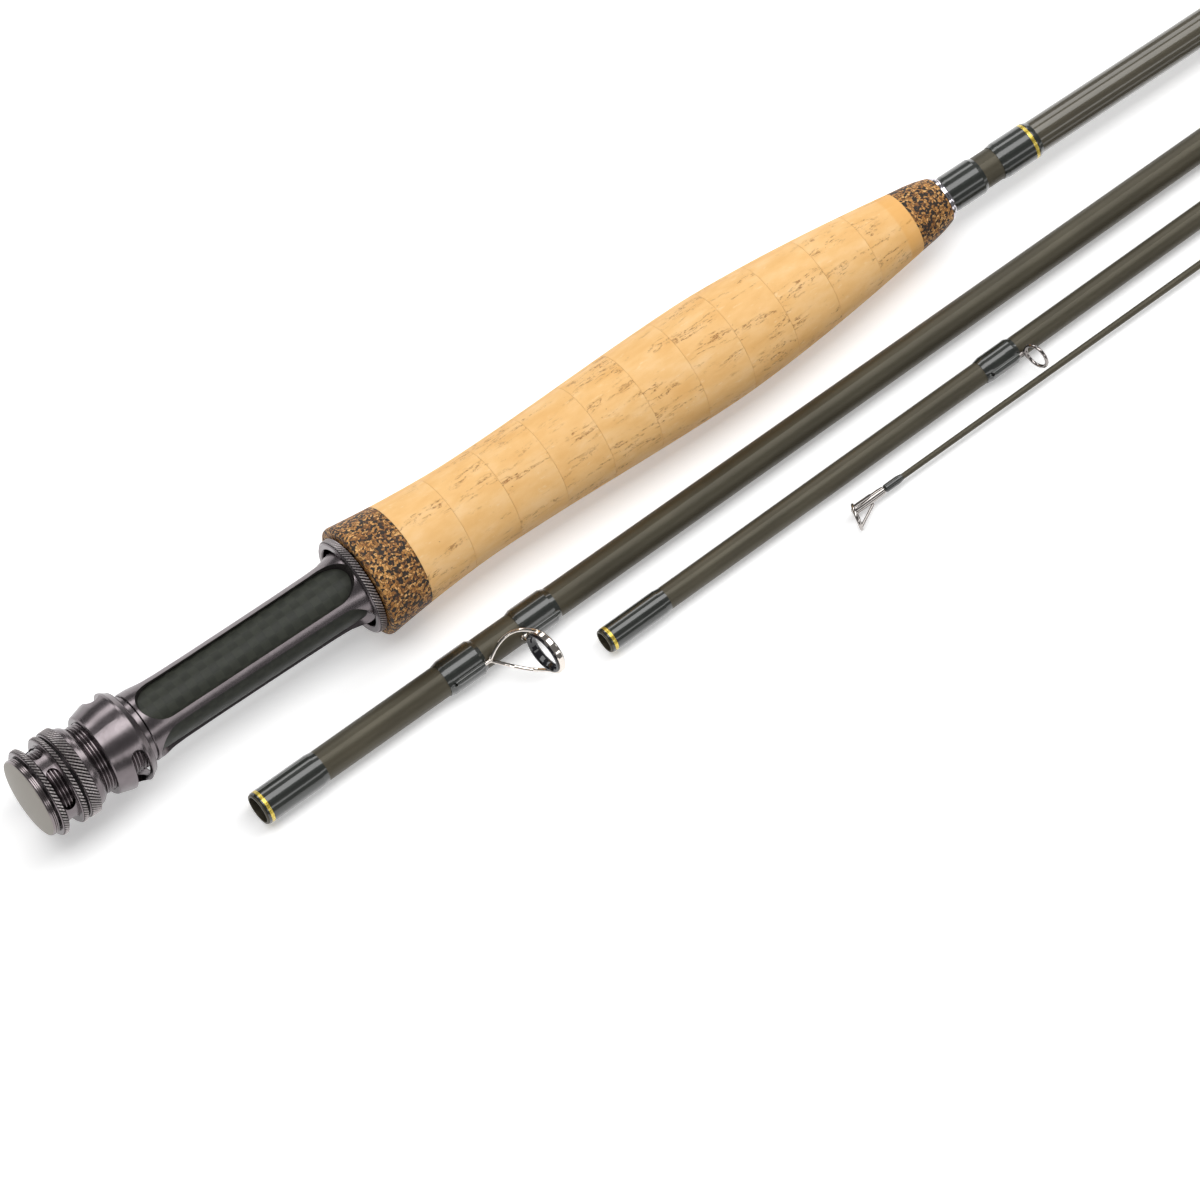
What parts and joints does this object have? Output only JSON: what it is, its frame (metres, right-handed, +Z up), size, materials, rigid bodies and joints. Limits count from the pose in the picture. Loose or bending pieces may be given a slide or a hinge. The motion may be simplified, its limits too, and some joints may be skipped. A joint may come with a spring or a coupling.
{
  "type": "four-piece fly rod",
  "caption": "Multi-piece fly rod laid out in sections: butt with cork grip and screw-locking skeleton reel seat, two mid sections and a tip, with guides and plug-in ferrules.",
  "frame": {"origin": "middle of the bounding box on the surface the laid-out sections rest on", "axes": "+X from the end cap of the butt section towards its male ferrule, +Y from the tip section towards the butt section, +Z up"},
  "size_m": [0.9952, 0.0659, 0.0278],
  "materials": {
    "gunmetal": "satin gunmetal anodised",
    "cap_metal": "satin pale warm grey anodised",
    "nylon": "matte black nylon",
    "insert_carbon": "clear-coated woven carbon fibre, dark green-grey",
    "arbor_foam": "rigid foam bushing",
    "cork": "sanded natural cork with small pits",
    "burl_cork": "composite cork speckled tan and near black",
    "check_metal": "polished",
    "wrap": "black-green thread under clear varnish",
    "gold_thread": "metallic gold thread under varnish",
    "blank": "satin olive-brown carbon tube",
    "guide_wire": "dark chromed wire",
    "bright_wire": "bright chromed wire and band",
    "ceramic": "polished black ceramic"
  },
  "bodies": {
    "butt_section": {"end_cap": "cap_metal", "threaded_barrel": "gunmetal", "seat_frame": "gunmetal", "seat_insert": "insert_carbon", "fixed_hood": "gunmetal", "arbor_rear": "arbor_foam", "arbor_front": "arbor_foam", "butt_blank": "blank", "rear_burl_ring": "burl_cork", "cork_ring_1": "cork", "cork_ring_2": "cork", "cork_ring_3": "cork", "cork_ring_4": "cork", "cork_ring_5": "cork", "cork_ring_6": "cork", "cork_ring_7": "cork", "cork_ring_8": "cork", "cork_ring_9": "cork", "cork_ring_10": "cork", "cork_ring_11": "cork", "front_burl_ring": "burl_cork", "winding_check": "check_metal", "keeper_wrap_rear": "wrap", "keeper_wrap_front": "wrap", "butt_trim_band": "gold_thread", "hook_keeper": "bright_wire"},
    "nut_carrier": {"nut_washer": "nylon"},
    "rear_nut": {"rear_lock_nut": "gunmetal"},
    "front_nut": {"front_lock_nut": "gunmetal"},
    "hood": {"sliding_hood": "gunmetal"},
    "mid_section_1": {"mid1_blank": "blank", "mid1_ferrule_wrap": "wrap", "mid1_trim_band": "gold_thread", "stripper_frame": "bright_wire", "stripper_ring": "ceramic", "stripper_wraps": "wrap", "mid1_guide_1": "guide_wire", "mid1_guide_2": "guide_wire", "mid1_guide_wraps": "wrap"},
    "mid_section_2": {"mid2_blank": "blank", "mid2_ferrule_wrap": "wrap", "mid2_trim_band": "gold_thread", "mid2_guide_1": "guide_wire", "mid2_guide_2": "guide_wire", "mid2_guide_3": "guide_wire", "mid2_guide_4": "guide_wire", "mid2_guide_wraps": "wrap"},
    "tip_section": {"tip_blank": "blank", "tip_ferrule_wrap": "wrap", "tip_trim_band": "gold_thread", "tip_guide_1": "guide_wire", "tip_guide_2": "guide_wire", "tip_guide_3": "guide_wire", "tip_guide_4": "guide_wire", "tip_guide_5": "guide_wire", "tip_guide_wraps": "wrap", "tip_top": "bright_wire", "tip_top_wrap": "wrap"}
  },
  "joints": [
    {"name": "front_nut_travel", "type": "slide", "parent": "butt_section", "child": "nut_carrier", "axis": [0.9999, 0, -0.0148], "range_m": [0, 0.0128]},
    {"name": "front_nut_turn", "type": "hinge", "parent": "nut_carrier", "child": "front_nut", "pos_m": [-0.48667, 0.02035, 0.01498], "axis": [0.9999, 0, -0.0148], "range_deg": [0, 5760]},
    {"name": "rear_nut_turn", "type": "hinge", "parent": "nut_carrier", "child": "rear_nut", "pos_m": [-0.48667, 0.02035, 0.01498], "axis": [0.9999, 0, -0.0148], "range_deg": [0, 5760]},
    {"name": "hood_slide", "type": "slide", "parent": "butt_section", "child": "hood", "axis": [0.9999, 0, -0.0148], "range_m": [0, 0.0101]},
    {"name": "mid_section_1_lift", "type": "slide", "parent": "butt_section", "child": "mid_section_1", "axis": [0, -0.7071, 0.7071], "range_m": [0, 0.06]},
    {"name": "mid_section_2_lift", "type": "slide", "parent": "butt_section", "child": "mid_section_2", "axis": [0, -0.7071, 0.7071], "range_m": [0, 0.06]},
    {"name": "tip_section_lift", "type": "slide", "parent": "butt_section", "child": "tip_section", "axis": [0, -0.7071, 0.7071], "range_m": [0, 0.06]}
  ],
  "couplings": [
    {"joint": "front_nut_turn", "follows": "front_nut_travel", "rad_per_m": 7854},
    {"joint": "rear_nut_turn", "follows": "front_nut_travel", "rad_per_m": 7854},
    {"joint": "hood_slide", "follows": "front_nut_travel", "ratio": 0.78906}
  ]
}
